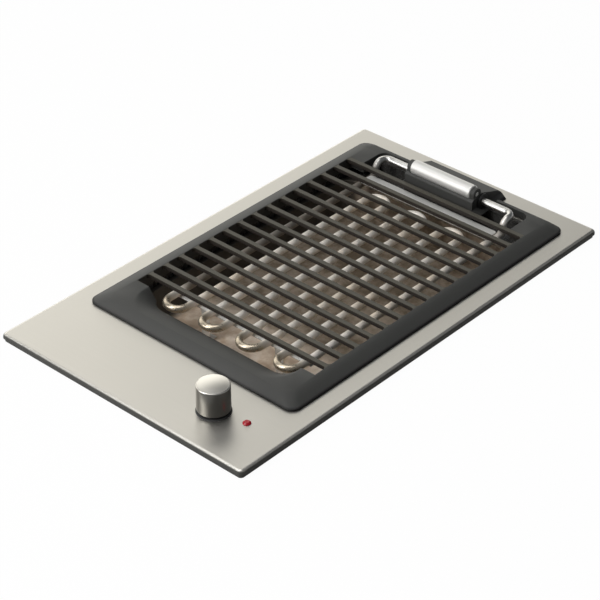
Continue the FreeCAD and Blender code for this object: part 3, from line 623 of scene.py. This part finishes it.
class GRILL_OT_plate(bpy.types.Operator):
    """Steel top plate and the seal under its edge"""
    bl_idname = "grill.plate"
    bl_label = "Top plate and seal"

    def execute(self, context):
        finished_copy("top_plate", "plate_skin", satin_steel(), "root",
                      sizes().sheet_round)
        dress(plain_finish("seal_foam", (0.070, 0.069, 0.064), 0.85, 900.0), "plate_seal")
        return {"FINISHED"}


class GRILL_OT_grate(bpy.types.Operator):
    """Cast grate: rim with its front scoop, and the bars"""
    bl_idname = "grill.grate"
    bl_label = "Cast grate"

    def execute(self, context):
        finished_copy("cast_grate", "rim_skin", cast_coating(), "grate",
                      sizes().cast_round, 3)
        finished_copy("grate_bars", "bar_skin", cast_coating("bar_coating", 0.4, 0.9), "grate",
                      sizes().bar_round, 3)
        return {"FINISHED"}


class GRILL_OT_well(bpy.types.Operator):
    """Enamelled well and the drip pan in it"""
    bl_idname = "grill.well"
    bl_label = "Well and drip pan"

    def execute(self, context):
        finished_copy("grill_well", "well_skin", enamel(), "root", sizes().sheet_round)
        finished_copy("drip_pan", "pan_skin", pan_steel(), "root", sizes().sheet_round)
        return {"FINISHED"}


class GRILL_OT_element(bpy.types.Operator):
    """Tube element with its straps, end seals and studs"""
    bl_idname = "grill.element"
    bl_label = "Heating element"

    def execute(self, context):
        finished_copy("heating_tube", "tube_skin", tube_sheath(), "element")
        strap = polished_steel("strap_steel", 0.32, 1.10, 0.5)
        finished_copy("back_strap", "back_strap_skin", strap, "element",
                      sizes().sheet_round)
        finished_copy("front_strap", "front_strap_skin", strap, "element",
                      sizes().sheet_round)
        dress(ceramic(), "tube_end_seals")
        dress(brass(), "terminal_studs")
        return {"FINISHED"}


class GRILL_OT_head(bpy.types.Operator):
    """Terminal head with the steel barrel, its axle and the pivot bushes"""
    bl_idname = "grill.head"
    bl_label = "Terminal head"

    def execute(self, context):
        coating = bpy.data.materials.get("cast_coating") or cast_coating()
        finished_copy("terminal_head", "head_skin", coating, "root",
                      sizes().cast_round, 3)
        dress(polished_steel("barrel_steel", 0.36, 0.95, 0.5), "steel_barrel", "barrel_axle")
        dress(plain_finish("bush_steel", (0.10, 0.10, 0.10), 0.42, 700.0, 1.0), "pivot_bushes")
        dress(zinc(), "head_screws")
        return {"FINISHED"}


class GRILL_OT_knob(bpy.types.Operator):
    """Turned steel knob with its insert, shaft and base ring"""
    bl_idname = "grill.knob"
    bl_label = "Control knob"

    def execute(self, context):
        turned_piece("control_knob", "knob_skin", turned_steel(), "knob", knob_outline())
        turned_piece("knob_ring", "ring_skin", black_plastic(), "root", ring_outline())
        dress(black_plastic(), "knob_insert")
        dress(brass(), "regulator_shaft")
        return {"FINISHED"}


class GRILL_OT_controls(bpy.types.Operator):
    """Energy regulator on its bracket, and the pilot lamp"""
    bl_idname = "grill.controls"
    bl_label = "Regulator and pilot lamp"

    def execute(self, context):
        dress(ceramic(), "energy_regulator")
        dress(brass(), "regulator_tabs")
        dress(zinc(), "regulator_bracket", "regulator_screws")
        dress(lamp_lens(), "pilot_lens")
        dress(pale_plastic(), "pilot_lamp")
        return {"FINISHED"}


class GRILL_OT_casing(bpy.types.Operator):
    """Casing, bottom cover and the clamps that hold the module"""
    bl_idname = "grill.casing"
    bl_label = "Casing and clamps"

    def execute(self, context):
        dress(zinc(), "casing", "bottom_cover", "cover_screws", "fixing_clamps", "clamp_screws",
              "cutout_strap")
        return {"FINISHED"}


class GRILL_OT_mains(bpy.types.Operator):
    """Cable gland, terminal block, earth stud and thermal cut-out"""
    bl_idname = "grill.mains"
    bl_label = "Mains connection"

    def execute(self, context):
        dress(black_plastic(), "cable_gland", "gland_nut")
        dress(pale_plastic(), "terminal_block")
        dress(brass(), "block_screws", "earth_stud", "earth_nut")
        dress(ceramic(), "thermal_cutout")
        return {"FINISHED"}


def shared_finish(name, *values):
    """The plain finish of that name, made on its first use."""
    return bpy.data.materials.get(name) or plain_finish(name, *values)


def zinc():
    return bpy.data.materials.get("galvanised") or galvanised()


def brass():
    return shared_finish("brass", (0.62, 0.45, 0.20), 0.32, 700.0, 1.0)


def ceramic():
    return shared_finish("ceramic", (0.72, 0.69, 0.61), 0.45, 500.0)


def black_plastic():
    return shared_finish("black_plastic", (0.022, 0.022, 0.023), 0.42, 1200.0)


def pale_plastic():
    return shared_finish("pale_plastic", (0.66, 0.64, 0.57), 0.48, 1000.0)


class GRILL_PT_panel(bpy.types.Panel):
    """Lists the grill's groups and settings"""
    bl_idname = "GRILL_PT_panel"
    bl_label = "Barbecue grill"
    bl_space_type = "VIEW_3D"
    bl_region_type = "UI"
    bl_category = "Grill"

    def draw(self, context):
        for group in (context.scene.grill_colours, context.scene.grill_sizes):
            for key in group.__annotations__:
                self.layout.prop(group, key)
        for operator in OPERATORS:
            self.layout.operator(operator.bl_idname)


OPERATORS = (
    GRILL_OT_stage, GRILL_OT_plate, GRILL_OT_grate, GRILL_OT_well, GRILL_OT_element,
    GRILL_OT_head, GRILL_OT_knob, GRILL_OT_controls, GRILL_OT_casing, GRILL_OT_mains,
)
CLASSES = (GrillColours, GrillSizes) + OPERATORS + (GRILL_PT_panel,)


def register():
    for cls in CLASSES:
        bpy.utils.register_class(cls)
    bpy.types.Scene.grill_colours = PointerProperty(type=GrillColours)
    bpy.types.Scene.grill_sizes = PointerProperty(type=GrillSizes)


def unregister():
    del bpy.types.Scene.grill_sizes
    del bpy.types.Scene.grill_colours
    for cls in reversed(CLASSES):
        bpy.utils.unregister_class(cls)


def main():
    register()
    bpy.context.scene.view_settings.view_transform = "Standard"
    for operator in OPERATORS:
        group, name = operator.bl_idname.split(".")
        getattr(getattr(bpy.ops, group), name)()


if __name__ == "__main__":
    main()
